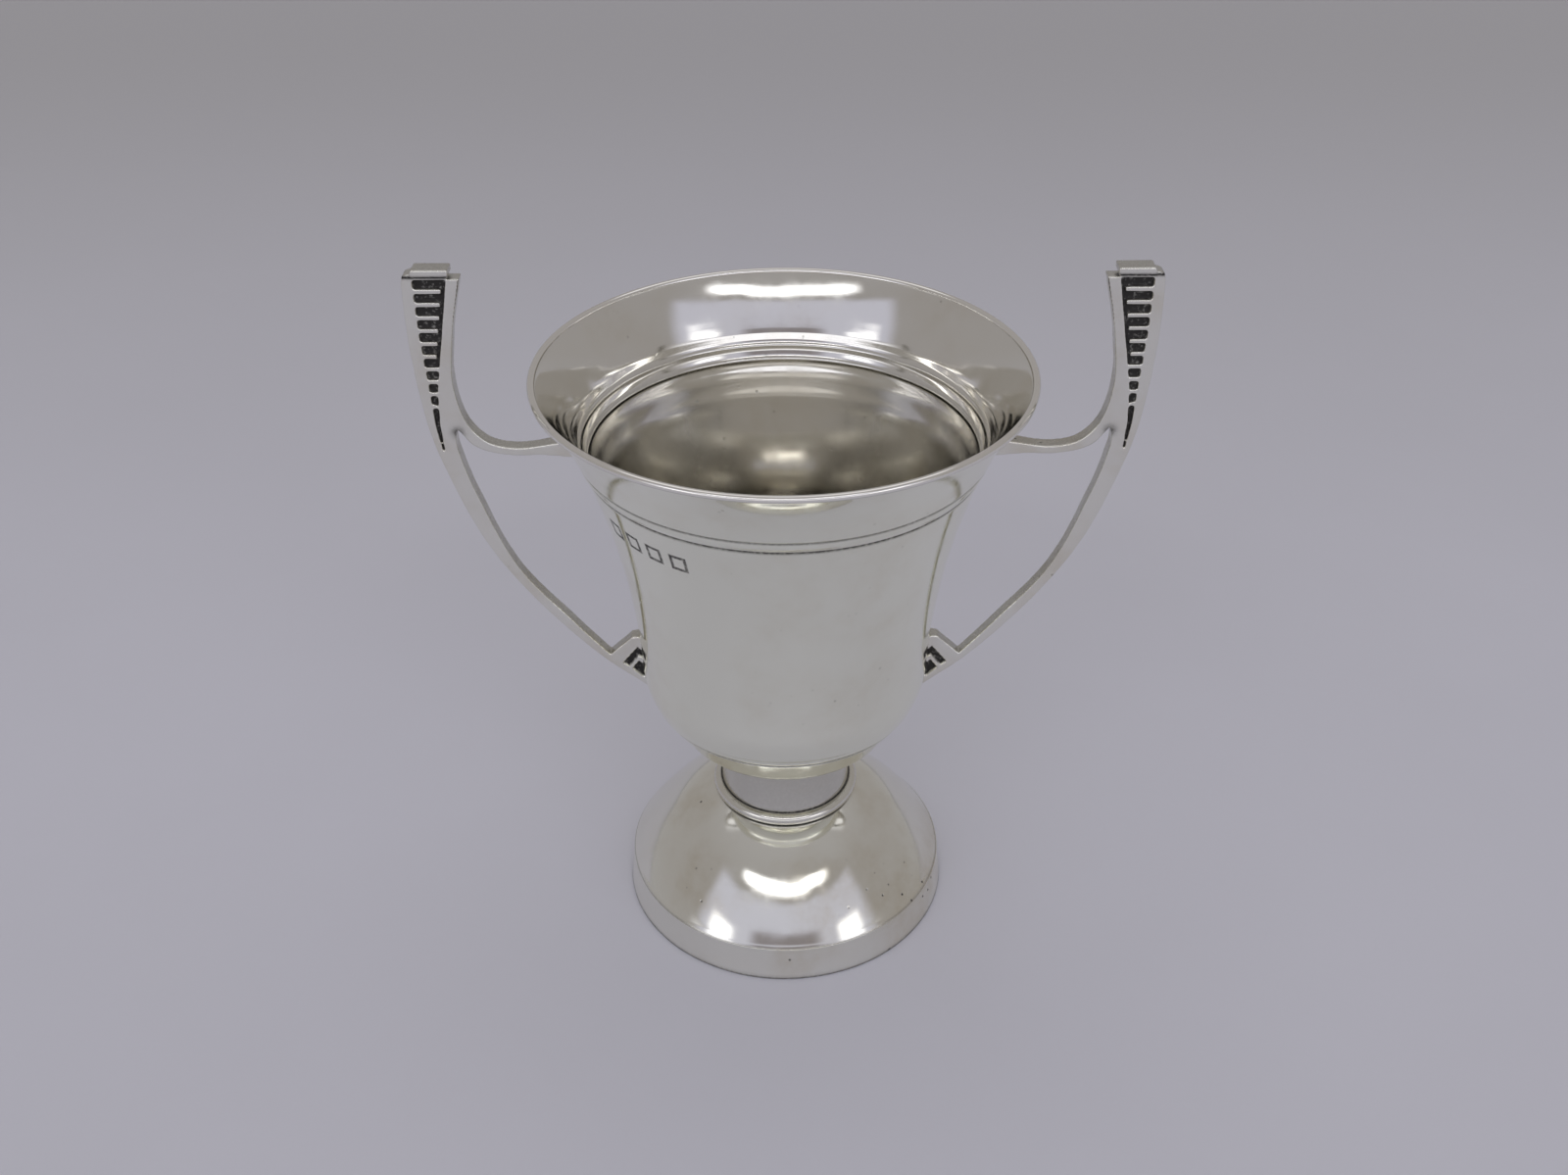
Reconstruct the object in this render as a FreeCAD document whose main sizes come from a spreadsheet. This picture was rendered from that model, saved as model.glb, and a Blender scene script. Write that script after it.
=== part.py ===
"""Two-handled silver cup trophy: a spun bowl on a short neck and a hollow domed foot.

Millimetres. +Z is up, the origin is the centre of the face that the foot stands on, and the handles
lie along +X and -X. Every piece is turned about the Z axis except the two cast handles.
"""

import FreeCAD, Part
import math
import os

import Sketcher

SIZES = {
    # thickness of the sheet that the bowl and the dome are spun from
    "wall": 0.6,
    # bowl, outer surface from the mouth down
    "mouth_radius": 29.6,
    "mouth_height": 79.0,
    "flare_bend": 29.0,
    "flare_radius": 25.2,
    "flare_height": 71.0,
    "shoulder_radius": 24.35,
    "shoulder_height": 69.1,
    "waist_bend": 105.0,
    "waist_radius": 18.7,
    "waist_height": 39.0,
    "turn_bend": 11.5,
    "turn_radius": 17.35,
    "turn_height": 33.1,
    "cone_radius": 14.7,
    "cone_height": 29.0,
    "base_bend": 5.2,
    "base_radius": 10.6,
    "base_height": 26.4,
    # fine lines turned into the bowl: the middle of each diamond-shaped cut
    "line_half": 0.28,
    "upper_line_radius": 25.3,
    "upper_line_height": 71.0,
    "lower_line_radius": 24.6,
    "lower_line_height": 69.4,
    "base_line_radius": 17.45,
    "base_line_height": 33.1,
    # wire on the mouth
    "wire_radius": 0.45,
    "wire_centre_radius": 29.5,
    "wire_centre_height": 79.25,
    # neck, and the bead under it
    "bore": 7.8,
    "neck_top_radius": 9.0,
    "neck_foot_radius": 8.8,
    "neck_foot_height": 17.6,
    "neck_bend": 24.0,
    "bead_seat_radius": 9.6,
    "bead_bend": 0.84,
    # foot
    "dome_height": 16.15,
    "dome_flat_radius": 9.1,
    "dome_hip_bend": 17.0,
    "dome_hip_radius": 15.4,
    "dome_hip_height": 12.3,
    "dome_edge_bend": 46.0,
    "dome_edge_radius": 21.58,
    # the wall's thickness measured across and down at the hip, and across at the edge
    "hip_slant": 0.42,
    "edge_slant": 0.72,
    "band_height": 4.95,
    "band_foot_radius": 22.28,
    "band_wall": 1.0,
    # handles
    "plate_thickness": 1.9,
    "recess_depth": 0.45,
    "cap_depth": 2.4,
    "cap_inner": 37.7,
    "cap_outer": 42.0,
    "cap_bottom": 91.5,
    "cap_top": 92.4,
    "cap_round": 0.3,
}

# Right-hand handle in its own plane, as (x, z). Each EDGE list is one smooth edge of the casting.
OUTER_EDGE = [(43.2, 90.6), (43.35, 84.5), (42.95, 77.0), (41.9, 69.6), (38.7, 59.4), (34.9, 51.7),
              (29.4, 44.1), (23.5, 37.7), (18.9, 33.9), (15.6, 31.2)]
GUSSET_SHOULDER = [(16.8, 40.2), (19.1, 41.3), (20.0, 41.2)]
LIMB_INNER_EDGE = [(22.9, 38.4), (27.2, 43.6), (33.6, 52.2), (37.5, 62.4), (39.2, 69.0), (39.3, 71.5)]
CROTCH_TOP = (39.05, 72.1)
ARM_LOWER_EDGE = [(38.7, 71.6), (36.9, 69.6), (33.5, 68.55), (28.6, 68.5), (23.2, 68.1)]
ARM_UPPER_EDGE = [(23.2, 71.0), (28.4, 69.95), (32.2, 69.45), (35.6, 70.3), (37.9, 73.2), (38.8, 78.0),
                  (38.2, 84.0), (36.6, 91.2)]
HEAD_STEPS = [(38.1, 91.2), (38.1, 91.6), (41.9, 91.6), (41.9, 92.0)]
SHOULDER_MIDDLE = (42.95, 91.6)

# Sunk ladder: gaps between rungs, from the top one down, then a long closing sliver.
LADDER_TOP = 91.0
LADDER_OUTER = 41.9
LADDER_INNER = 38.1
LADDER_TAPER = 0.186
LADDER_GAPS = 9
GAP_HEIGHT = 1.07
RUNG_PITCH = 1.62
SLIVER_OUTER = [(41.65, 76.2), (41.5, 72.6), (41.1, 69.2), (40.65, 66.2)]
SLIVER_INNER = [(40.65, 66.2), (40.85, 69.2), (41.05, 72.6), (40.85, 76.2)]
# Sunk panels of the gusset: the channel round its chevron, and the corner under that.
GUSSET_PANELS = [
    [(21.3, 37.1), (19.3, 39.6), (18.2, 38.4), (17.0, 38.4), (17.0, 37.6), (18.4, 37.6), (19.2, 38.3),
     (20.5, 36.5)],
    [(20.1, 36.2), (19.2, 37.4), (18.4, 36.7), (17.0, 36.7), (17.0, 34.6), (18.9, 34.9)],
]

doc = FreeCAD.newDocument("cup_trophy")
sheet = doc.addObject("Spreadsheet::Sheet", "sizes")
for row, (alias, size) in enumerate(SIZES.items(), start=1):
    sheet.set(f"A{row}", alias)
    sheet.set(f"B{row}", str(size))
    sheet.setAlias(f"B{row}", alias)
doc.recompute()


def amount(words):
    """The value of a sum of sheet names, such as 'dome_edge_radius - band_wall'."""
    total = 0.0
    sign = 1.0
    for word in words.split():
        if word in "+-":
            sign = 1.0 if word == "+" else -1.0
        elif word in SIZES:
            total += sign * SIZES[word]
        else:
            total += sign * float(word)
    return total


def formula(words):
    """The same sum as an expression on the sheet."""
    return " ".join("sizes." + word if word in SIZES else word for word in words.split())


def origin_feature(body, role):
    return next(f for f in body.Origin.OriginFeatures if f.Role == role)


def new_body(name):
    body = doc.addObject("PartDesign::Body", name)
    body.Label = name
    body.Placement = FreeCAD.Placement()
    return body


def new_sketch(body, name):
    """A sketch on the body's XZ plane, seen from the front."""
    sketch = body.newObject("Sketcher::SketchObject", name)
    sketch.AttachmentSupport = [(origin_feature(body, "XZ_Plane"), "")]
    sketch.MapMode = "FlatFace"
    doc.recompute()
    return sketch


def pin_point(sketch, edge, end, across, up):
    """Holds one end of an edge at two sums of sheet values, measured from the origin."""
    for kind, axis, words in (("DistanceX", -2, across), ("DistanceY", -1, up)):
        value = amount(words)
        if value == 0.0:
            sketch.addConstraint(Sketcher.Constraint("PointOnObject", edge, end, axis))
            continue
        number = sketch.addConstraint(Sketcher.Constraint(kind, -1, 1, edge, end, value))
        sketch.setExpression(f"Constraints[{number}]", formula(words))


def bent_edge(start, finish, bend, side):
    """An arc of radius bend from start to finish. side is +1 where it bulges to the left."""
    half = 0.5 * (finish - start)
    rise = bend - math.sqrt(bend * bend - half.Length * half.Length)
    left = FreeCAD.Vector(-half.y, half.x, 0)
    left.normalize()
    return Part.Arc(start, start + half + left * (rise * side), finish)


def closed_section(sketch, corners):
    """Draws a closed outline. Each corner is (across, up, bend, side), all sums of sheet values.

    bend and side describe the edge that leaves the corner; a straight edge has neither.
    """
    points = [FreeCAD.Vector(amount(c[0]), amount(c[1]), 0) for c in corners]
    ends = []
    for i, corner in enumerate(corners):
        start = points[i]
        finish = points[(i + 1) % len(points)]
        if len(corner) > 2:
            edge = bent_edge(start, finish, amount(corner[2]), corner[3])
        else:
            edge = Part.LineSegment(start, finish)
        sketch.addGeometry(edge, False)
        starts_first = sketch.getPoint(i, 1).distanceToPoint(start) < 1e-6
        ends.append((1, 2) if starts_first else (2, 1))
    for i in range(len(corners)):
        after = (i + 1) % len(corners)
        sketch.addConstraint(Sketcher.Constraint("Coincident", i, ends[i][1], after, ends[after][0]))
    for i, corner in enumerate(corners):
        pin_point(sketch, i, ends[i][0], corner[0], corner[1])
        if len(corner) > 2:
            number = sketch.addConstraint(Sketcher.Constraint("Radius", i, amount(corner[2])))
            sketch.setExpression(f"Constraints[{number}]", formula(corner[2]))


def turned(body, kind, name, corners):
    """Turns an outline about Z, as a Revolution that adds or a Groove that cuts."""
    sketch = new_sketch(body, name + "_section")
    closed_section(sketch, corners)
    feature = body.newObject("PartDesign::" + kind, name)
    feature.Profile = sketch
    feature.ReferenceAxis = (sketch, ["V_Axis"])
    feature.Angle = 360.0
    body.Tip = feature
    doc.recompute()


def turned_line(body, name):
    """A fine V-shaped line: a diamond cut whose middle is at the named radius and height."""
    radius = name + "_radius"
    height = name + "_height"
    turned(body, "Groove", name, [
        (radius, height + " - line_half"),
        (radius + " + line_half", height),
        (radius, height + " + line_half"),
        (radius + " - line_half", height),
    ])


def hollow_out(body, height):
    """Leaves only the wall, open at the flat face that lies at the given height."""
    blank = body.Tip
    opening = next(f"Face{i}" for i, face in enumerate(blank.Shape.Faces, start=1)
                   if abs(face.CenterOfMass.z - height) < 1e-6)
    hollow = body.newObject("PartDesign::Thickness", "hollow")
    hollow.Base = (blank, [opening])
    hollow.setExpression("Value", "sizes.wall")
    hollow.Reversed = True
    hollow.Join = "Arc"
    body.Tip = hollow
    doc.recompute()


def bowl_blank():
    """The bowl as if it were solid: its outer surface from the mouth down, closed by the axis."""
    return [
        ("mouth_radius", "mouth_height", "flare_bend", -1),
        ("flare_radius", "flare_height"),
        ("shoulder_radius", "shoulder_height", "waist_bend", -1),
        ("waist_radius", "waist_height", "turn_bend", 1),
        ("turn_radius", "turn_height"),
        ("cone_radius", "cone_height", "base_bend", 1),
        ("base_radius", "base_height"),
        ("0", "base_height"),
        ("0", "mouth_height"),
    ]


def make_bowl():
    body = new_body("bowl")
    turned(body, "Revolution", "blank", bowl_blank())
    hollow_out(body, SIZES["mouth_height"])
    for name in ("upper_line", "lower_line", "base_line"):
        turned_line(body, name)
    return body


def make_rim_wire():
    """Round wire that rests on the bowl's edge, its underside filed flat to seat there."""
    ring = doc.addObject("Part::Torus", "wire_ring")
    ring.setExpression("Radius1", "sizes.wire_centre_radius")
    ring.setExpression("Radius2", "sizes.wire_radius")
    ring.setExpression("Placement.Base.z", "sizes.wire_centre_height")
    filing = doc.addObject("Part::Cylinder", "wire_filing")
    filing.setExpression("Radius", "sizes.wire_centre_radius * 2")
    filing.setExpression("Height", "sizes.mouth_height")
    wire = doc.addObject("Part::Cut", "rim_wire")
    wire.Base = ring
    wire.Tool = filing
    doc.recompute()
    return wire


def make_neck():
    body = new_body("neck")
    turned(body, "Revolution", "tube", [
        ("neck_top_radius", "base_height", "neck_bend", -1),
        ("neck_foot_radius", "neck_foot_height"),
        ("bore", "neck_foot_height"),
        ("bore", "base_height"),
    ])
    return body


def make_bead_ring():
    body = new_body("bead_ring")
    turned(body, "Revolution", "half_round", [
        ("neck_foot_radius", "neck_foot_height", "bead_bend", 1),
        ("bead_seat_radius", "dome_height"),
        ("bore", "dome_height"),
        ("bore", "neck_foot_height"),
    ])
    return body


def make_foot_dome():
    body = new_body("foot_dome")
    turned(body, "Revolution", "spun_sheet", [
        ("dome_flat_radius", "dome_height", "dome_hip_bend", 1),
        ("dome_hip_radius", "dome_hip_height", "dome_edge_bend", 1),
        ("dome_edge_radius", "band_height"),
        ("dome_edge_radius - edge_slant", "band_height", "dome_edge_bend - wall", -1),
        ("dome_hip_radius - hip_slant", "dome_hip_height - hip_slant", "dome_hip_bend - wall", -1),
        ("dome_flat_radius", "dome_height - wall"),
        ("bore", "dome_height - wall"),
        ("bore", "dome_height"),
    ])
    return body


def make_foot_band():
    body = new_body("foot_band")
    turned(body, "Revolution", "strip", [
        ("dome_edge_radius", "band_height"),
        ("band_foot_radius", "0"),
        ("band_foot_radius - band_wall", "0"),
        ("dome_edge_radius - band_wall", "band_height"),
    ])
    return body


def point(place):
    return FreeCAD.Vector(place[0], place[1], 0)


def smooth(places):
    """One smooth edge through the places."""
    curve = Part.BSplineCurve()
    curve.interpolate([point(place) for place in places])
    return [curve]


def straight(places):
    """Straight edges from each place to the next."""
    return [Part.LineSegment(point(a), point(b)) for a, b in zip(places, places[1:])]


def arc(start, middle, finish):
    return [Part.Arc(point(start), point(middle), point(finish))]


def draw(sketch, edges):
    """Adds edges and holds each one where it is drawn."""
    for edge in edges:
        number = sketch.addGeometry(edge, False)
        sketch.addConstraint(Sketcher.Constraint("Block", number))


def casting_outline():
    return (
        arc(HEAD_STEPS[-1], SHOULDER_MIDDLE, OUTER_EDGE[0])
        + smooth(OUTER_EDGE)
        + straight([OUTER_EDGE[-1]] + GUSSET_SHOULDER + [LIMB_INNER_EDGE[0]])
        + smooth(LIMB_INNER_EDGE)
        + arc(LIMB_INNER_EDGE[-1], CROTCH_TOP, ARM_LOWER_EDGE[0])
        + smooth(ARM_LOWER_EDGE)
        + straight([ARM_LOWER_EDGE[-1], ARM_UPPER_EDGE[0]])
        + smooth(ARM_UPPER_EDGE)
        + straight([ARM_UPPER_EDGE[-1]] + HEAD_STEPS)
    )


def ladder_gap(number):
    """The corners of one sunk gap between two rungs, back to the first corner."""
    fall = number * RUNG_PITCH
    top = LADDER_TOP - fall
    bottom = top - GAP_HEIGHT
    upper_inner = LADDER_INNER + LADDER_TAPER * fall
    lower_inner = LADDER_INNER + LADDER_TAPER * (fall + GAP_HEIGHT)
    return [(upper_inner, top), (LADDER_OUTER, top), (LADDER_OUTER, bottom), (lower_inner, bottom),
            (upper_inner, top)]


def make_handle():
    """One casting: two limbs on a flat stem, sunk panels on both faces, and a square cap."""
    body = new_body("handle_right")
    outline = new_sketch(body, "handle_outline")
    draw(outline, casting_outline())
    plate = body.newObject("PartDesign::Pad", "handle_plate")
    plate.Profile = outline
    plate.SideType = "Symmetric"
    plate.setExpression("Length", "sizes.plate_thickness")
    body.Tip = plate

    panels = new_sketch(body, "handle_panels")
    panels.setExpression("AttachmentOffset.Base.z", "sizes.plate_thickness / 2")
    for number in range(LADDER_GAPS):
        draw(panels, straight(ladder_gap(number)))
    draw(panels, smooth(SLIVER_OUTER) + smooth(SLIVER_INNER) + straight([SLIVER_INNER[-1], SLIVER_OUTER[0]]))
    for corners in GUSSET_PANELS:
        draw(panels, straight(corners + corners[:1]))
    front = body.newObject("PartDesign::Pocket", "handle_front_panels")
    front.Profile = panels
    front.setExpression("Length", "sizes.recess_depth")
    body.Tip = front
    both = body.newObject("PartDesign::Mirrored", "handle_both_faces")
    both.Originals = [front]
    both.MirrorPlane = (origin_feature(body, "XZ_Plane"), [""])
    body.Tip = both

    bar = new_sketch(body, "handle_bar")
    closed_section(bar, [
        ("cap_inner", "cap_bottom"),
        ("cap_outer", "cap_bottom"),
        ("cap_outer", "cap_top"),
        ("cap_inner", "cap_top"),
    ])
    cap = body.newObject("PartDesign::Pad", "handle_cap")
    cap.Profile = bar
    cap.SideType = "Symmetric"
    cap.setExpression("Length", "sizes.cap_depth")
    body.Tip = cap
    doc.recompute()

    top_edges = [f"Edge{i}" for i, edge in enumerate(cap.Shape.Edges, start=1)
                 if abs(edge.CenterOfMass.z - SIZES["cap_top"]) < 1e-6]
    eased = body.newObject("PartDesign::Fillet", "handle_cap_eased")
    eased.Base = (cap, top_edges)
    eased.setExpression("Radius", "sizes.cap_round")
    body.Tip = eased
    doc.recompute()

    turned(body, "Groove", "handle_seat", bowl_blank())
    return body


def mirrored_handle(handle):
    other = doc.addObject("Part::Mirroring", "handle_left")
    other.Label = "handle_left"
    other.Source = handle
    other.Normal = FreeCAD.Vector(1, 0, 0)
    doc.recompute()
    return other


handle_right = make_handle()
pieces = [
    make_bowl(),
    make_rim_wire(),
    make_neck(),
    make_bead_ring(),
    make_foot_dome(),
    make_foot_band(),
    handle_right,
    mirrored_handle(handle_right),
]
doc.recompute()

for thing in doc.Objects:
    if "Invalid" in thing.State or "Error" in thing.State:
        raise RuntimeError(f"{thing.Label} did not build: {thing.State}")
for piece in pieces:
    if piece.Shape.isNull() or not piece.Shape.isValid() or len(piece.Shape.Solids) != 1:
        raise RuntimeError(f"{piece.Label} is not one sound solid")

os.makedirs("parts", exist_ok=True)
for piece in pieces:
    piece.Shape.exportStep(f"parts/{piece.Label}.step")
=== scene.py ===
"""Looks of a small two-handled silver cup: spun bowl, hollow foot and two cast handles.

Outlines are in millimetres in the row frame, as the CAD has them, and meshes are in metres. The turned
pieces are lathe meshes. Each handle is a casting: solid layers that are melted into one skin.
"""

import math

import bmesh
import bpy
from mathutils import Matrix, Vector, noise
from mathutils.geometry import tessellate_polygon


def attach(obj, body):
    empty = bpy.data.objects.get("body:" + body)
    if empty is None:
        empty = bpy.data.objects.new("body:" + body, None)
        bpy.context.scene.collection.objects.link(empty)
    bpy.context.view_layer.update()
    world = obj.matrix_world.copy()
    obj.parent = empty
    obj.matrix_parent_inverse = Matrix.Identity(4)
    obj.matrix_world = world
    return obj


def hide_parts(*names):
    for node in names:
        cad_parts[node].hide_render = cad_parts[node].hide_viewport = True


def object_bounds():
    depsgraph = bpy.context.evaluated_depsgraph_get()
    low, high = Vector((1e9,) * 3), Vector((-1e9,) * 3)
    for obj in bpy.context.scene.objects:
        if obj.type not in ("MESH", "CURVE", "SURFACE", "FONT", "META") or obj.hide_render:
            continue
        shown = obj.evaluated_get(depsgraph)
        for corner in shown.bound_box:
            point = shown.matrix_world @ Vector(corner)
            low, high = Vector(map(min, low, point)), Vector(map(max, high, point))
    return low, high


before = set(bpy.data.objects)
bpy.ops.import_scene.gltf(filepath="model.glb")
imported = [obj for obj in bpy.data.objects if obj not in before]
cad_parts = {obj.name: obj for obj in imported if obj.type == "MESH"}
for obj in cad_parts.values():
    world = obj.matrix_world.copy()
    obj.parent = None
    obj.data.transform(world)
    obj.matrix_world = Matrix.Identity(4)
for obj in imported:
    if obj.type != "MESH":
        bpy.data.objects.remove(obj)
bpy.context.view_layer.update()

MM = 0.001
SEGMENTS = 240      # steps round a turned piece
WALL = 0.6          # thickness of the spun sheet

# ---------------------------------------------------------------- camera


def make_camera():
    lens = bpy.data.cameras.new("camera")
    lens.sensor_width = 36.0
    lens.lens = 36.0
    lens.clip_start = 0.01
    camera = bpy.data.objects.new("camera", lens)
    camera.location = (-0.00006, -0.1666, 0.1617)
    camera.rotation_euler = (math.radians(55.78), 0.0, 0.0)
    camera.rotation_euler.rotate_axis("Z", math.radians(-0.24))
    bpy.context.scene.collection.objects.link(camera)
    bpy.context.scene.camera = camera


# ---------------------------------------------------------------- node helpers


def new_material(name):
    material = bpy.data.materials.new(name)
    material.use_nodes = True
    tree = material.node_tree
    tree.nodes.clear()
    output = tree.nodes.new("ShaderNodeOutputMaterial")
    shader = tree.nodes.new("ShaderNodeBsdfPrincipled")
    tree.links.new(shader.outputs["BSDF"], output.inputs["Surface"])
    return material, tree, shader


def plug(tree, source, target):
    """Links an output to an input, or sets the input where source is a plain value."""
    if isinstance(source, bpy.types.NodeSocket):
        tree.links.new(source, target)
    else:
        target.default_value = source


def noise_node(tree, vector, scale, detail=3.0, rough=0.5):
    node = tree.nodes.new("ShaderNodeTexNoise")
    plug(tree, vector, node.inputs["Vector"])
    node.inputs["Scale"].default_value = scale
    node.inputs["Detail"].default_value = detail
    node.inputs["Roughness"].default_value = rough
    return node.outputs["Fac"]


def stretch(tree, vector, scale):
    node = tree.nodes.new("ShaderNodeMapping")
    plug(tree, vector, node.inputs["Vector"])
    node.inputs["Scale"].default_value = scale
    return node.outputs["Vector"]


def remap(tree, value, low, high, out_low, out_high):
    node = tree.nodes.new("ShaderNodeMapRange")
    node.interpolation_type = "SMOOTHSTEP"
    plug(tree, value, node.inputs["Value"])
    for label, number in (("From Min", low), ("From Max", high), ("To Min", out_low), ("To Max", out_high)):
        node.inputs[label].default_value = number
    return node.outputs["Result"]


def maths(tree, operation, a, b=0.0):
    """One Math node. Sums and products stay between 0 and 1."""
    node = tree.nodes.new("ShaderNodeMath")
    node.operation = operation
    node.use_clamp = operation in ("ADD", "MULTIPLY")
    plug(tree, a, node.inputs[0])
    plug(tree, b, node.inputs[1])
    return node.outputs["Value"]


def blend_colour(tree, factor, a, b):
    node = tree.nodes.new("ShaderNodeMix")
    node.data_type = "RGBA"
    plug(tree, factor, node.inputs[0])
    plug(tree, a, node.inputs[6])
    plug(tree, b, node.inputs[7])
    return node.outputs[2]


def bump(tree, height, distance, below=None):
    node = tree.nodes.new("ShaderNodeBump")
    node.inputs["Distance"].default_value = distance
    plug(tree, height, node.inputs["Height"])
    if below is not None:
        plug(tree, below, node.inputs["Normal"])
    return node.outputs["Normal"]


def attribute(tree, name):
    node = tree.nodes.new("ShaderNodeAttribute")
    node.attribute_name = name
    return node.outputs["Fac"]


def object_place(tree):
    return tree.nodes.new("ShaderNodeTexCoord").outputs["Object"]


# ---------------------------------------------------------------- materials

PUNCH_COUNT = 4
PUNCH_ANGLE = 0.152     # radians from one punch mark to the next
PUNCH_PITCH = 3.55      # the same step in millimetres round the bowl
PUNCH_START = 3.56      # steps from the front to the first mark
PUNCH_HEIGHT = 65.1
PUNCH_HALF = 0.95       # half the side of a mark
DULL_INSIDE = (0.81, 0.795, 0.745, 1.0)
YELLOWED = (0.60, 0.52, 0.36, 1.0)
# Black of oxide in lines and joints, also used for painted shade and a painted contact shadow.
BLACK_OXIDE_AND_SHADE = (0.018, 0.016, 0.014, 1.0)


def punch_row(tree, place):
    """Four empty square punch marks, 2 mm across, round the left front of the bowl below its lines."""
    split = tree.nodes.new("ShaderNodeSeparateXYZ")
    plug(tree, place, split.inputs["Vector"])
    turn = maths(tree, "ARCTAN2", split.outputs["X"], maths(tree, "SUBTRACT", 0.0, split.outputs["Y"]))
    step = maths(tree, "SUBTRACT", maths(tree, "DIVIDE", turn, -PUNCH_ANGLE), PUNCH_START)
    off = maths(tree, "SUBTRACT", step, maths(tree, "ROUND", step))
    across = maths(tree, "DIVIDE", maths(tree, "ABSOLUTE", off), 1.0 / PUNCH_PITCH)
    up = maths(tree, "DIVIDE", maths(tree, "SUBTRACT", split.outputs["Z"], PUNCH_HEIGHT * MM), MM)
    reach = maths(tree, "MAXIMUM", across, maths(tree, "ABSOLUTE", up))
    edge = maths(tree, "ABSOLUTE", maths(tree, "SUBTRACT", reach, PUNCH_HALF))
    from_middle = maths(tree, "ABSOLUTE", maths(tree, "SUBTRACT", step, (PUNCH_COUNT - 1) / 2))
    in_row = remap(tree, from_middle, PUNCH_COUNT / 2 - 0.1, PUNCH_COUNT / 2, 1.0, 0.0)
    line = maths(tree, "MULTIPLY", remap(tree, edge, 0.12, 0.3, 1.0, 0.0), in_row)
    return maths(tree, "MULTIPLY", line, maths(tree, "SUBTRACT", 1.0, attribute(tree, "inner")))


def silver(name, tint, gloss, tarnish, brushing, pits, marked=False):
    """Old polished silver, which can carry the row of punch marks.

    The mesh's grime attribute blackens it, both oxide in lines, joints and cells and painted shade,
    its inner attribute marks the duller inside of the bowl, and tarnish yellows it in patches.
    """
    material, tree, shader = new_material(name)
    place = object_place(tree)
    patches = noise_node(tree, place, 75.0, 4.0, 0.55)
    cloud = noise_node(tree, place, 340.0, 5.0, 0.6)
    speckle = noise_node(tree, place, 2600.0, 4.0, 0.6)
    lines = noise_node(tree, stretch(tree, place, brushing), 1.0, 5.0, 0.7)

    # The mesh's mask blackens real lines, joints and sunk cells, and also carries painted shade and a
    # painted contact shadow.
    dirt_and_painted_shade = maths(tree, "MULTIPLY", attribute(tree, "grime_and_shade"), remap(tree, speckle, 0.25, 0.62, 0.7, 1.25))
    spots = tree.nodes.new("ShaderNodeTexVoronoi")
    plug(tree, place, spots.inputs["Vector"])
    spots.inputs["Scale"].default_value = 520.0
    spot = remap(tree, spots.outputs["Distance"], 0.05, 0.13, 1.0, 0.0)
    spot = maths(tree, "MULTIPLY", spot, remap(tree, patches, 0.52, 0.66, 0.0, pits))
    dirt_and_painted_shade = maths(tree, "ADD", dirt_and_painted_shade, spot)
    if marked:
        worn = remap(tree, speckle, 0.3, 0.6, 0.5, 1.0)
        dirt_and_painted_shade = maths(tree, "ADD", dirt_and_painted_shade, maths(tree, "MULTIPLY", punch_row(tree, place), worn))

    yellow = maths(tree, "MULTIPLY", remap(tree, patches, 0.42, 0.7, 0.0, tarnish),
                   remap(tree, cloud, 0.3, 0.7, 0.4, 1.0))
    base = blend_colour(tree, attribute(tree, "inner"), (*tint, 1.0), DULL_INSIDE)
    colour = blend_colour(tree, yellow, base, YELLOWED)
    colour = blend_colour(tree, dirt_and_painted_shade, colour, BLACK_OXIDE_AND_SHADE)
    plug(tree, colour, shader.inputs["Base Color"])
    plug(tree, remap(tree, dirt_and_painted_shade, 0.35, 1.0, 1.0, 0.25), shader.inputs["Metallic"])
    haze = remap(tree, cloud, 0.3, 0.75, 0.6 * gloss, 1.5 * gloss)
    plug(tree, maths(tree, "ADD", haze, maths(tree, "MULTIPLY", dirt_and_painted_shade, 0.4)), shader.inputs["Roughness"])
    fine = bump(tree, lines, 0.0000012)
    plug(tree, bump(tree, spot, -0.00003, fine), shader.inputs["Normal"])
    return material


def paper():
    """Pale lavender-grey sheet with a faint mottle, and painted shade that greys it towards the back."""
    material, tree, shader = new_material("floor_paper")
    place = object_place(tree)
    mottle = noise_node(tree, place, 9.0, 4.0, 0.6)
    fibre = noise_node(tree, place, 1500.0, 3.0, 0.6)
    depth = tree.nodes.new("ShaderNodeSeparateXYZ")
    plug(tree, place, depth.inputs["Vector"])
    # Painted shade: the paper darkens towards the back.
    back = remap(tree, depth.outputs["Y"], 0.0, 0.45, 0.0, 1.0)
    front = blend_colour(tree, remap(tree, mottle, 0.3, 0.7, 0.0, 1.0), (0.74, 0.74, 0.81, 1.0),
                         (0.76, 0.76, 0.835, 1.0))
    plug(tree, blend_colour(tree, back, front, (0.52, 0.515, 0.53, 1.0)), shader.inputs["Base Color"])
    shader.inputs["Roughness"].default_value = 0.5
    shader.inputs["Specular IOR Level"].default_value = 0.6
    plug(tree, bump(tree, fibre, 0.00001), shader.inputs["Normal"])
    return material


# ---------------------------------------------------------------- turned pieces


def arc_points(start, finish, bend, side, step):
    """Points from start up to but not including finish. side is +1 where the arc bulges to the left."""
    half = (finish - start) / 2
    left = Vector((-half.y, half.x)).normalized()
    centre = start + half - left * (side * math.sqrt(bend * bend - half.length_squared))
    turn = -side * 2 * math.asin(half.length / bend)
    count = max(2, math.ceil(bend * abs(turn) / step))
    arm = start - centre
    points = []
    for i in range(count):
        angle = turn * i / count
        cos, sin = math.cos(angle), math.sin(angle)
        points.append(centre + Vector((arm.x * cos - arm.y * sin, arm.x * sin + arm.y * cos)))
    return points


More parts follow.
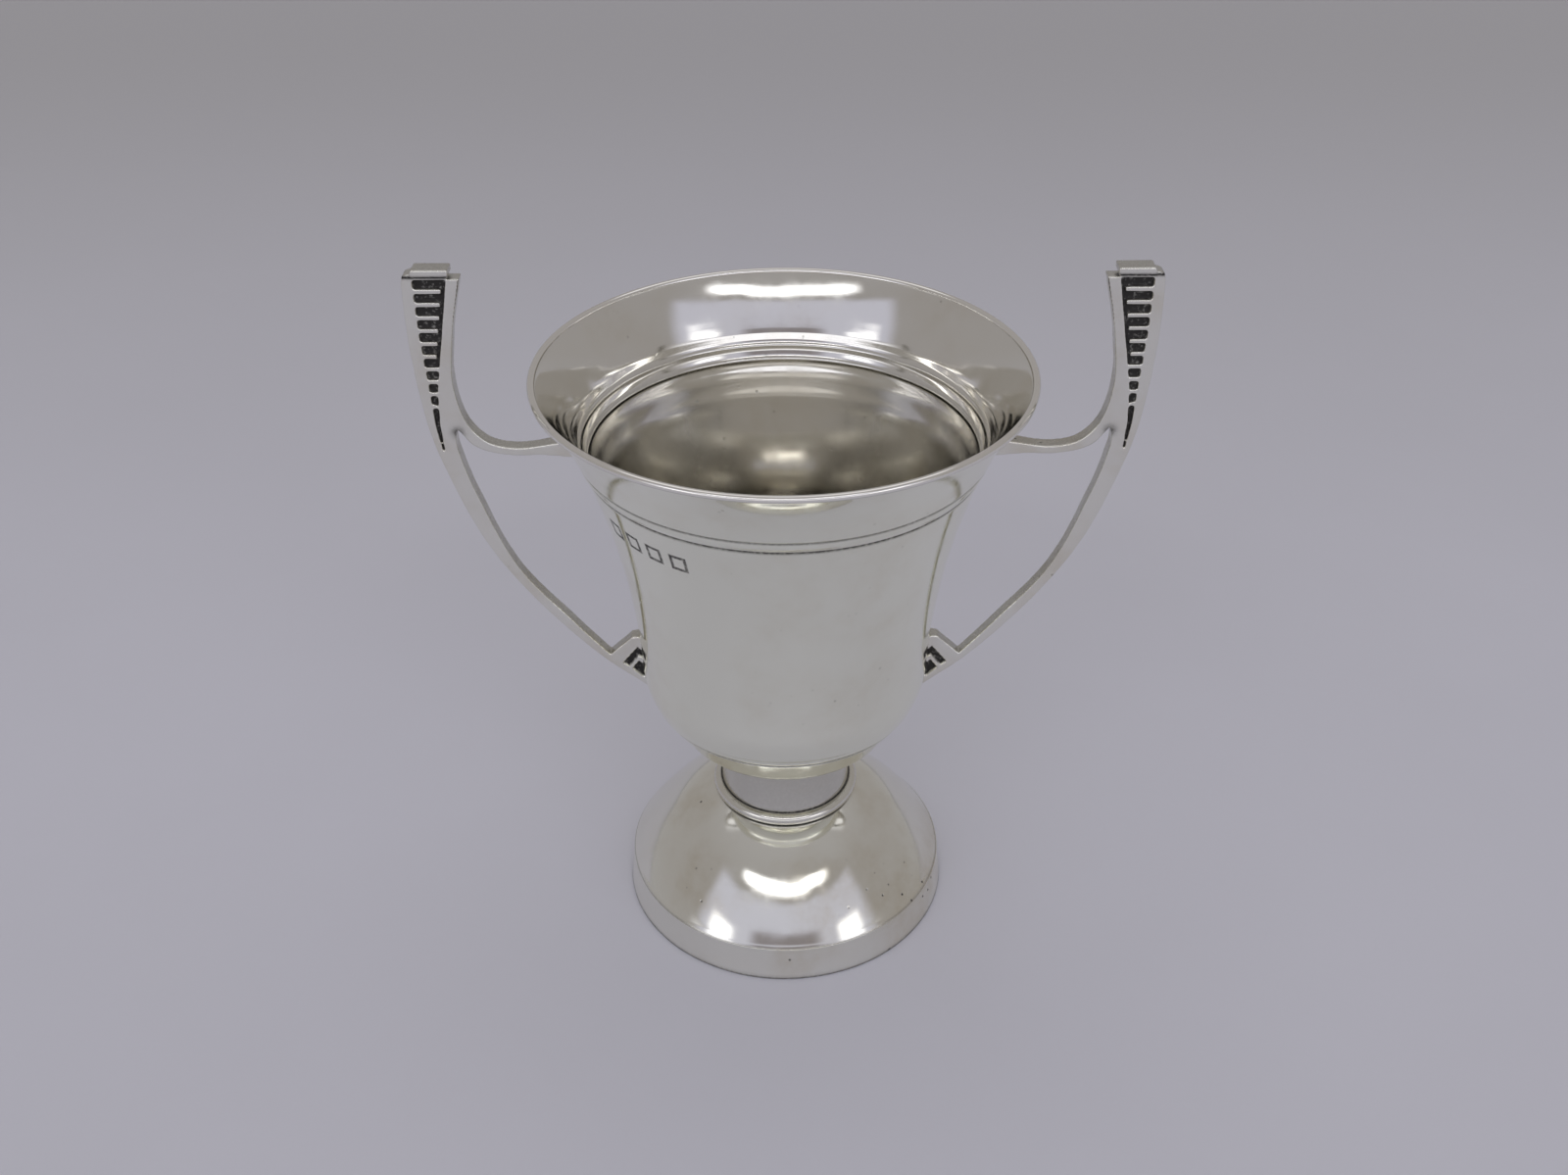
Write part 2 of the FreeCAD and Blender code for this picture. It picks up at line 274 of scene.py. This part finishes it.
def outline(corners, step=0.7):
    """Dense points along corners given as (radius, height) or (radius, height, bend, side)."""
    places = [Vector(c[:2]) for c in corners]
    points = []
    for corner, start, finish in zip(corners, places, places[1:]):
        if len(corner) > 2:
            points += arc_points(start, finish, corner[2], corner[3], step)
        else:
            count = max(1, math.ceil((finish - start).length / step))
            points += [start.lerp(finish, i / count) for i in range(count)]
    return points + [places[-1]]


def refine(points, heights, reach=1.1, step=0.09):
    """Adds points where the outline passes close to one of the heights."""
    dense = []
    for a, b in zip(points, points[1:]):
        close = min(abs((a.y + b.y) / 2 - height) for height in heights) < reach
        count = max(1, math.ceil((b - a).length / step)) if close else 1
        dense += [a.lerp(b, i / count) for i in range(count)]
    return dense + [points[-1]]


def normals(points):
    """Unit vectors to the right of the direction of travel, at every point."""
    found = []
    for i in range(len(points)):
        along = points[min(i + 1, len(points) - 1)] - points[max(i - 1, 0)]
        found.append(Vector((along.y, -along.x)).normalized())
    return found


def pushed(points, lines):
    """Moves points to the right of travel near each line, given as (height, depth, width)."""
    moved = []
    for point, side in zip(points, normals(points)):
        push = sum(depth * math.exp(-((point.y - height) / width) ** 2) for height, depth, width in lines)
        moved.append(point + side * push)
    return moved


def eased(points, radius, sharpest=25.0):
    """Rounds every corner sharper than a number of degrees."""
    soft = [points[0]]
    for before, here, after in zip(points, points[1:], points[2:]):
        a, b = before - here, after - here
        turn = math.pi - a.angle(b)
        if turn < math.radians(sharpest):
            soft.append(here)
            continue
        cut = min(radius * math.tan(turn / 2), 0.45 * a.length, 0.45 * b.length)
        p, q = here + a.normalized() * cut, here + b.normalized() * cut
        for i in range(6):
            t = i / 5
            soft.append(p.lerp(here, t).lerp(here.lerp(q, t), t))
    return soft + [points[-1]]


def wobble(place, amount, period):
    """A small, slow unevenness of hand work at a place in millimetres."""
    return amount * noise.noise(place / period)


def make_piece(name, mesh, slot_name, material, *nodes):
    """A visible piece, in place of the CAD nodes it stands for."""
    piece = bpy.data.objects.new(name, mesh)
    bpy.context.scene.collection.objects.link(piece)
    mesh.materials.clear()
    mesh.materials.append(material)
    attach(piece, "root")
    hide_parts(*nodes)


def lathe(name, points, closed, grime_and_shade, uneven=0.03, period=13.0):
    """Turns an outline about Z. grime(radius, height) gives how dark the silver is made there, by blackened
    lines and joints and by painted shade.
    """
    bm = bmesh.new()
    layer = bm.verts.layers.float.new("grime_and_shade")
    rings = []
    for point in points:
        ring = []
        for i in range(SEGMENTS if point.x > 1e-6 else 1):
            angle = math.tau * i / SEGMENTS
            place = Vector((point.x * math.cos(angle), point.x * math.sin(angle), point.y))
            out = Vector((math.cos(angle), math.sin(angle), 0.0))
            if point.x > 1e-6:
                place += out * wobble(place, uneven, period)
            vert = bm.verts.new(place * MM)
            vert[layer] = grime_and_shade(point.x, point.y)
            ring.append(vert)
        rings.append(ring)
    pairs = list(zip(rings, rings[1:]))
    if closed:
        pairs.append((rings[-1], rings[0]))
    for low, high in pairs:
        for i in range(SEGMENTS):
            j = (i + 1) % SEGMENTS
            corners = [low[i % len(low)], low[j % len(low)], high[j % len(high)], high[i % len(high)]]
            bm.faces.new(list(dict.fromkeys(corners)))
    bmesh.ops.recalc_face_normals(bm, faces=bm.faces)
    mesh = bpy.data.meshes.new(name)
    bm.to_mesh(mesh)
    bm.free()
    mesh.shade_smooth()
    mesh.set_sharp_from_angle(angle=math.radians(40))
    return mesh


def near(value, middle, width):
    """1 at the middle, falling away to 0 over about two widths."""
    return math.exp(-((value - middle) / width) ** 2)


# The bowl's outside, from the mouth down, as (radius, height) or (radius, height, bend, side).
BOWL = [
    (29.6, 79.0, 29.0, -1),
    (25.2, 71.0),
    (24.35, 69.1, 105.0, -1),
    (18.7, 39.0, 11.5, 1),
    (17.35, 33.1),
    (14.7, 29.0, 5.2, 1),
    (10.6, 26.4),
]
UPPER_LINE, LOWER_LINE, BASE_LINE = 71.0, 69.4, 33.1
BOWL_BOTTOM = 26.4
NECK_FOOT = 17.6
BEAD_FOOT = 16.15
BAND_TOP = 4.95
BORE = 7.8


def bowl_mesh():
    """The spun bowl with its turned lines, blacker in the lines, with painted shade on the two sides
    inside.
    """
    shell = refine(outline(BOWL), [UPPER_LINE, LOWER_LINE, BASE_LINE])
    outside = pushed(shell, [(UPPER_LINE, 0.13, 0.2), (UPPER_LINE - 0.75, -0.06, 0.3),
                             (LOWER_LINE, 0.17, 0.17),
                             (BASE_LINE, 0.2, 0.15), (BASE_LINE + 0.5, -0.05, 0.3)])
    inside = [p + n * WALL for p, n in zip(shell, normals(shell))]
    inside = [p for p in inside if p.y > BOWL_BOTTOM + WALL + 0.05]
    inside = pushed(inside, [(UPPER_LINE + 1.6, 0.06, 0.7), (UPPER_LINE - 0.1, 0.13, 0.35),
                             (LOWER_LINE - 0.2, 0.15, 0.3), (LOWER_LINE - 2.2, 0.07, 0.8),
                             (LOWER_LINE - 5.0, 0.08, 1.1), (BASE_LINE, 0.1, 0.4)])
    bottom = [Vector((r, BOWL_BOTTOM)) for r in (0.0, 4.0, 8.0, 10.0)]
    floor = [Vector((r, BOWL_BOTTOM + WALL)) for r in (9.2, 8.0, 4.0, 0.0)]
    points = eased(bottom + outside[::-1] + inside + floor, 0.25)

    def grime_and_shade(r, z):
        outer = r > 24.15 + (z - LOWER_LINE) * 0.47 if z > 45.0 else True
        lines = 0.8 * near(z, LOWER_LINE, 0.2) + 0.6 * near(z, UPPER_LINE, 0.16)
        lines += 0.7 * near(z, BASE_LINE, 0.2)
        seam = 0.6 * near(r, 9.3, 0.3) if z < BOWL_BOTTOM + 0.1 else 0.0
        return lines * (1.0 if outer else 0.1) + seam

    mesh = lathe("bowl_spun", points, False, grime_and_shade)
    inner = mesh.attributes.new("inner", "FLOAT", "POINT")
    dark = mesh.attributes["grime_and_shade"]
    for vert in mesh.vertices:
        inwards = vert.normal.x * vert.co.x + vert.normal.y * vert.co.y < 0.0
        on_floor = vert.normal.z > 0.5 and vert.co.z < 40.0 * MM
        if inwards or on_floor:
            inner.data[vert.index].value = 1.0
            # Painted shade: low in the bowl the inside walls darken towards the left and right.
            sideways = abs(vert.co.x) / max(math.hypot(vert.co.x, vert.co.y), MM)
            dark.data[vert.index].value += 0.34 * sideways ** 6 * ramp(-vert.co.z / MM, -72.0, -66.0)
    return mesh


def rim_wire_mesh():
    """The mouth's round wire, flat where it sits on the bowl."""
    middle, radius, seat = Vector((29.5, 79.25)), 0.45, 79.0
    start = math.asin((seat - middle.y) / radius)
    count = 26
    sweep = math.pi - 2 * start
    points = []
    for i in range(count + 1):
        angle = start + sweep * i / count
        points.append(middle + Vector((math.cos(angle), math.sin(angle))) * radius)
    return lathe("rim_wire_round", points, True, lambda r, z: 0.5 * near(z, seat, 0.06))


def neck_mesh():
    points = outline([(9.0, BOWL_BOTTOM, 24.0, -1), (8.8, NECK_FOOT), (BORE, NECK_FOOT),
                      (BORE, BOWL_BOTTOM), (9.0, BOWL_BOTTOM)], 0.4)[:-1]

    def grime_and_shade(_, z):
        # A slightly darker tone all over, the dark seam at the foot, and painted shade under the bowl's
        # base at the top.
        return 0.12 + 0.9 * near(z, NECK_FOOT, 0.13) + 0.3 * near(z, BOWL_BOTTOM, 1.0)

    return lathe("neck_tube", points, True, grime_and_shade, 0.02)


def bead_mesh():
    points = outline([(8.8, NECK_FOOT, 0.84, 1), (9.6, BEAD_FOOT), (BORE, BEAD_FOOT),
                      (BORE, NECK_FOOT), (8.8, NECK_FOOT)], 0.12)[:-1]

    def grime_and_shade(r, z):
        return 0.9 * near(r, 8.85, 0.12) + 0.9 * near(z, BEAD_FOOT, 0.12)

    return lathe("bead_half_round", points, True, grime_and_shade, 0.02)


def dome_mesh():
    """The foot's spun dome, with a narrow rounding where the band is soldered on."""
    shell = outline([(9.1, BEAD_FOOT, 17.0, 1), (15.4, 12.3, 46.0, 1), (21.58, BAND_TOP)], 0.4)
    inside = [p + n * WALL for p, n in zip(shell, normals(shell))]
    shell = eased(shell[:-1] + [Vector((21.42, 5.2)), Vector((21.58, BAND_TOP))], 0.2, 8.0)
    inside[0] = Vector((9.1, BEAD_FOOT - WALL))
    inside[-1] = Vector((20.86, BAND_TOP))
    points = [Vector((BORE, BEAD_FOOT)), Vector((8.5, BEAD_FOOT))] + shell + inside[::-1]
    points += [Vector((8.5, BEAD_FOOT - WALL)), Vector((BORE, BEAD_FOOT - WALL))]

    def grime_and_shade(r, z):
        # The joint under the bead, and along the band's seam a dark line that is partly painted shadow
        # under the rounded edge.
        return 0.8 * near(r, 9.2, 0.35) + 0.35 * near(z, BAND_TOP, 0.12)

    return lathe("foot_dome_spun", points, True, grime_and_shade, 0.06, 14.0)


def band_mesh():
    corners = [(21.0, BAND_TOP), (21.66, BAND_TOP), (22.28, 0.0), (21.28, 0.0), (20.58, BAND_TOP),
               (21.0, BAND_TOP)]
    points = eased(outline(corners, 0.45), 0.2)[:-1]

    def grime_and_shade(r, z):
        # The seam along the top, and a painted contact shadow along the bottom where the band stands on the
        # floor.
        return (0.25 * near(z, BAND_TOP, 0.1) + 0.8 * near(z, 0.0, 0.3)) * (r > 21.4)

    return lathe("foot_band_strip", points, True, grime_and_shade, 0.05, 9.0)


# ---------------------------------------------------------------- cast handles

# The right-hand casting's edge as (x, z), from the head down the outside and back up the inside.
OUTER_EDGE = [(43.2, 90.6), (43.35, 84.5), (42.95, 77.0), (41.9, 69.6), (38.7, 59.4), (34.9, 51.7),
              (29.4, 44.1), (23.5, 37.7), (18.9, 33.9), (16.9, 32.3)]
GUSSET_SHOULDER = [(18.45, 40.9), (19.1, 41.3), (20.0, 41.2)]
LIMB_INNER_EDGE = [(22.9, 38.4), (27.2, 43.6), (33.6, 52.2), (37.5, 62.4), (39.2, 69.0), (39.3, 71.5)]
CROTCH_TOP = (39.05, 72.1)
ARM_LOWER_EDGE = [(38.7, 71.6), (36.9, 69.6), (33.5, 68.55), (28.6, 68.5), (23.9, 68.1)]
ARM_UPPER_EDGE = [(24.7, 70.75), (28.4, 69.95), (32.2, 69.45), (35.6, 70.3), (37.9, 73.2), (38.8, 78.0),
                  (38.2, 84.0), (36.6, 91.2)]
HEAD_STEPS = [(38.1, 91.2), (38.1, 91.5), (41.9, 91.5), (41.9, 92.0), (42.95, 91.6)]
# Sunk panels: the tapering ladder of the head, then the chevron and the corner of the gusset.
LADDER = [(38.1, 91.1), (41.9, 91.1), (41.95, 84.5), (41.65, 77.0), (41.5, 72.6), (41.1, 69.2),
          (40.65, 66.2), (40.85, 69.2), (41.05, 72.6), (40.8, 76.8)]
GUSSET_PANELS = [
    [(21.3, 37.1), (19.3, 39.6), (18.2, 38.4), (17.0, 38.4), (17.0, 37.6), (18.4, 37.6), (19.2, 38.3),
     (20.5, 36.5)],
    [(20.1, 36.2), (19.2, 37.4), (18.4, 36.7), (17.0, 36.7), (17.0, 34.6), (18.9, 34.9)],
]
HALF_PLATE = 0.95       # half the plate's thickness
RECESS = 0.45           # how deep the panels are sunk on each face
RUNGS = 10
WIDE_RUNGS = 6          # the upper rungs stop short of the ladder's inner border
FIRST_RUNG = 89.95
RUNG_PITCH = 1.62
RUNG_HEIGHT = 0.55
CAP = (37.75, 41.95, 91.55, 92.35, 1.16)
VOXEL = 0.125           # grain at which the layers melt into one skin
GUSSET_TOP = 45.0


def flowing(places, steps=9):
    """A smooth line through the places (Catmull-Rom), without its last point."""
    ends = [Vector(p) for p in places]
    ends = [2 * ends[0] - ends[1]] + ends + [2 * ends[-1] - ends[-2]]
    line = []
    for a, b, c, d in zip(ends, ends[1:], ends[2:], ends[3:]):
        for i in range(steps):
            t = i / steps
            line.append(0.5 * (2 * b + (c - a) * t + (2 * a - 5 * b + 4 * c - d) * t * t
                               + (3 * b - a - 3 * c + d) * t ** 3))
    return line


def casting_outline():
    """The whole edge of the right-hand casting."""
    return (flowing(OUTER_EDGE) + [Vector(OUTER_EDGE[-1])] + [Vector(p) for p in GUSSET_SHOULDER]
            + flowing(LIMB_INNER_EDGE) + [Vector(LIMB_INNER_EDGE[-1]), Vector(CROTCH_TOP)]
            + flowing(ARM_LOWER_EDGE) + [Vector(ARM_LOWER_EDGE[-1])]
            + flowing(ARM_UPPER_EDGE) + [Vector(ARM_UPPER_EDGE[-1])] + [Vector(p) for p in HEAD_STEPS])


def prism(bm, loops, low, high):
    """A solid slab in the handle's plane: the first loop is its edge, any others are holes in it."""
    flat = [[Vector((p.x, p.y, 0.0)) for p in loop] for loop in loops]
    ground = [p for loop in loops for p in loop]
    bottom = [bm.verts.new((p.x, low, p.y)) for p in ground]
    top = [bm.verts.new((p.x, high, p.y)) for p in ground]
    for triangle in tessellate_polygon(flat):
        bm.faces.new([bottom[i] for i in triangle])
        bm.faces.new([top[i] for i in reversed(triangle)])
    first = 0
    for loop in loops:
        for i in range(len(loop)):
            a, b = first + i, first + (i + 1) % len(loop)
            bm.faces.new([bottom[a], bottom[b], top[b], top[a]])
        first += len(loop)


def bar(bm, left, right, low, high, depth):
    """A straight bar through the plate, reaching depth to either side of its middle."""
    corners = [Vector(p) for p in ((left, low), (right, low), (right, high), (left, high))]
    prism(bm, [corners], -depth, depth)


def ladder_left(z):
    """The sunk ladder's inner border at a height."""
    return 38.1 + 0.186 * (91.1 - z)


def inside(loop, x, z):
    """Whether a place lies within a closed loop."""
    hit = False
    for a, b in zip(loop, loop[1:] + loop[:1]):
        if (a.y > z) != (b.y > z) and x < (b.x - a.x) * (z - a.y) / (b.y - a.y) + a.x:
            hit = not hit
    return hit


def ramp(value, low, high):
    """Smoothly from 0 at low to 1 at high."""
    t = max(0.0, min(1.0, (value - low) / (high - low)))
    return t * t * (3 - 2 * t)


def thickness(x, z):
    """How the casting's depth differs from the plate's: slim limb, arm that widens at the bowl."""
    if z < 67.5:
        return 0.92 + 0.1 * ramp(z, 60.0, 67.5) + 0.08 * ramp(-x, -22.0, -18.0)
    if z < 74.0 and x < 38.5:
        return 1.0 + 0.22 * ramp(-x, -31.0, -25.0)
    return 1.02


def handle_mesh():
    """The right-hand casting, with blackened sunk cells, and painted shade under the cap, in the fork, at
    the arm's root and on the narrow sides.
    """
    ladder = [Vector(p) for p in LADDER]
    gusset = [[Vector(p) for p in loop] for loop in GUSSET_PANELS]
    edge = casting_outline()
    bm = bmesh.new()
    floor = HALF_PLATE - RECESS
    prism(bm, [edge], -floor, floor)
    for side in (-1, 1):
        low, high = sorted((side * (floor - 0.1), side * HALF_PLATE))
        prism(bm, [edge, ladder], low, high)
    for number in range(RUNGS):
        top = FIRST_RUNG - number * RUNG_PITCH
        left = ladder_left(top) + (0.45 if number < WIDE_RUNGS else 0.1)
        bar(bm, left, 42.3, top - RUNG_HEIGHT, top, HALF_PLATE - 0.04)
    bar(bm, *CAP)
    bmesh.ops.recalc_face_normals(bm, faces=bm.faces)
    mesh = bpy.data.meshes.new("handle_layers")
    bm.to_mesh(mesh)
    bm.free()
    mesh.transform(((MM, 0, 0, 0), (0, MM, 0, 0), (0, 0, MM, 0), (0, 0, 0, 1)))
    layers = bpy.data.objects.new("handle_layers", mesh)
    bpy.context.scene.collection.objects.link(layers)
    melt = layers.modifiers.new("melt", "REMESH")
    melt.mode = "VOXEL"
    melt.voxel_size = VOXEL * MM
    soften = layers.modifiers.new("soften", "SMOOTH")
    soften.factor = 0.5
    soften.iterations = 3
    cast = bpy.data.meshes.new_from_object(layers.evaluated_get(bpy.context.evaluated_depsgraph_get()))
    bpy.data.objects.remove(layers)

    grime_and_shade = cast.attributes.new("grime_and_shade", "FLOAT", "POINT")
    outward = [vert.normal.copy() for vert in cast.vertices]
    for vert, out in zip(cast.vertices, outward):
        x, y, z = (c / MM for c in vert.co)
        sunk = inside(ladder, x, z)
        if z < GUSSET_TOP and abs(y) > floor and any(inside(panel, x, z) for panel in gusset):
            sunk = True
            y = math.copysign(floor, y)
        deep = 1.0 - ramp(abs(y), floor + 0.08, HALF_PLATE - 0.08)
        # Painted shade: a dark strip under the cap, in the fork of arm and limb, under the arm's end at the
        # bowl, and on the narrow sides; the sunk cells are blackened with oxide.
        under_cap = near(z, 91.45, 0.2) if z > 91.0 else 0.0
        fork = 0.8 * near(math.hypot(x - 39.0, z - 71.6), 0.0, 0.7)
        roots = 0.7 * near(x, 24.2, 0.5) * (z > 60.0) * ramp(-z, -69.4, -68.3)
        sides = 0.26 * ramp(-abs(out.y), -0.75, -0.3)
        grime_and_shade.data[vert.index].value = min(1.0, max(deep if sunk else 0.0, under_cap, fork, roots, sides))
        uneven = out * wobble(Vector((x, y, z)), 0.05, 2.6)
        vert.co = (Vector((x, y * thickness(x, z), z)) + uneven) * MM
    cast.shade_smooth()
    return cast


def mirrored(mesh):
    """The same casting for the left-hand side."""
    other = mesh.copy()
    for vert in other.vertices:
        vert.co.x = -vert.co.x
    other.flip_normals()
    return other


# ---------------------------------------------------------------- stage

# Room colours by the sine of a direction's elevation, from the horizon (0) to straight up (1).
ROOM = [
    (0.0, (0.37, 0.36, 0.37)),
    (0.2, (0.35, 0.335, 0.335)),
    (0.6, (0.35, 0.335, 0.335)),
    (1.0, (0.40, 0.39, 0.40)),
]
# Lights: lowest and highest sine of elevation, the two bearings between which each fades in
# (-1 is straight in front, +1 straight behind), and its colour. Later ones cover earlier ones.
LIGHTS = [
    (0.10, 0.27, -0.35, -0.65, (1.3, 1.3, 1.4)),
    (0.29, 0.60, -0.40, -0.55, (0.58, 0.58, 0.68)),
    (0.31, 0.42, -0.55, -0.66, (1.9, 1.9, 2.0)),
    (0.29, 0.60, -0.76, -0.84, (0.58, 0.58, 0.68)),
    (0.29, 0.44, -0.89, -0.96, (0.26, 0.24, 0.26)),
    (0.655, 0.70, -0.68, -0.86, (4.0, 4.0, 4.2)),
    (0.80, 0.97, 0.05, 0.35, (0.85, 0.84, 0.87)),
]
FADE = 0.02             # half the width over which a light fades out above and below


def make_floor():
    bm = bmesh.new()
    bmesh.ops.create_grid(bm, x_segments=8, y_segments=8, size=2.5)
    mesh = bpy.data.meshes.new("floor")
    bm.to_mesh(mesh)
    bm.free()
    mesh.materials.append(paper())
    floor = bpy.data.objects.new("floor", mesh)
    floor.location.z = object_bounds()[0].z
    bpy.context.scene.collection.objects.link(floor)


def make_room():
    """Soft light from all round: grey walls, a window and lamps in front, a pale ceiling behind."""
    world = bpy.data.worlds.new("room")
    bpy.context.scene.world = world
    world.use_nodes = True
    tree = world.node_tree
    way = tree.nodes.new("ShaderNodeTexCoord").outputs["Generated"]
    split = tree.nodes.new("ShaderNodeSeparateXYZ")
    plug(tree, way, split.inputs["Vector"])
    unrest = maths(tree, "SUBTRACT", noise_node(tree, way, 2.2, 2.0), 0.5)
    height = maths(tree, "MULTIPLY_ADD", unrest, 0.06)
    plug(tree, split.outputs["Z"], height.node.inputs[2])
    flat = tree.nodes.new("ShaderNodeCombineXYZ")
    plug(tree, split.outputs["X"], flat.inputs["X"])
    plug(tree, split.outputs["Y"], flat.inputs["Y"])
    facing = tree.nodes.new("ShaderNodeVectorMath")
    facing.operation = "NORMALIZE"
    plug(tree, flat.outputs["Vector"], facing.inputs[0])
    bearing = tree.nodes.new("ShaderNodeSeparateXYZ")
    plug(tree, facing.outputs["Vector"], bearing.inputs["Vector"])
    walls = tree.nodes.new("ShaderNodeValToRGB")
    plug(tree, height, walls.inputs["Fac"])
    elements = walls.color_ramp.elements
    while len(elements) < len(ROOM):
        elements.new(1.0)
    for element, (position, colour) in zip(elements, ROOM):
        element.position = position
        element.color = (*colour, 1.0)
    colour = walls.outputs["Color"]
    for low, high, fade_from, fade_to, shine in LIGHTS:
        band = maths(tree, "MULTIPLY", remap(tree, height, low - FADE, low + FADE, 0.0, 1.0),
                     remap(tree, height, high - FADE, high + FADE, 1.0, 0.0))
        part = remap(tree, bearing.outputs["Y"], fade_from, fade_to, 0.0, 1.0)
        colour = blend_colour(tree, maths(tree, "MULTIPLY", band, part), colour, (*shine, 1.0))
    background = tree.nodes["Background"]
    plug(tree, colour, background.inputs["Color"])


# ---------------------------------------------------------------- the cup

make_camera()
make_floor()
make_room()
bpy.context.scene.view_settings.view_transform = "Standard"

TURNED = (130.0, 130.0, 2600.0)     # polishing lines that run round a turned piece
CAST = (900.0, 900.0, 900.0)
bowl_silver = silver("bowl_silver", (0.905, 0.91, 0.805), 0.09, 0.2, TURNED, 0.3, True)
wire_silver = silver("wire_silver", (0.88, 0.86, 0.81), 0.08, 0.1, TURNED, 0.2)
stem_silver = silver("stem_silver", (0.76, 0.745, 0.68), 0.10, 0.35, TURNED, 0.4)
foot_silver = silver("foot_silver", (0.86, 0.85, 0.78), 0.09, 0.45, TURNED, 1.0)
cast_silver = silver("cast_silver", (0.82, 0.81, 0.75), 0.15, 0.5, CAST, 1.0)

make_piece("bowl_spun", bowl_mesh(), "bowl_silver", bowl_silver, "bowl")
make_piece("rim_wire_round", rim_wire_mesh(), "wire_silver", wire_silver, "rim_wire")
make_piece("neck_tube", neck_mesh(), "stem_silver", stem_silver, "neck")
make_piece("bead_half_round", bead_mesh(), "stem_silver", stem_silver, "bead_ring")
make_piece("foot_dome_spun", dome_mesh(), "foot_silver", foot_silver, "foot_dome")
make_piece("foot_band_strip", band_mesh(), "foot_silver", foot_silver, "foot_band")
casting = handle_mesh()
make_piece("handle_right_cast", casting, "cast_silver", cast_silver, "handle_right")
make_piece("handle_left_cast", mirrored(casting), "cast_silver", cast_silver, "handle_left")
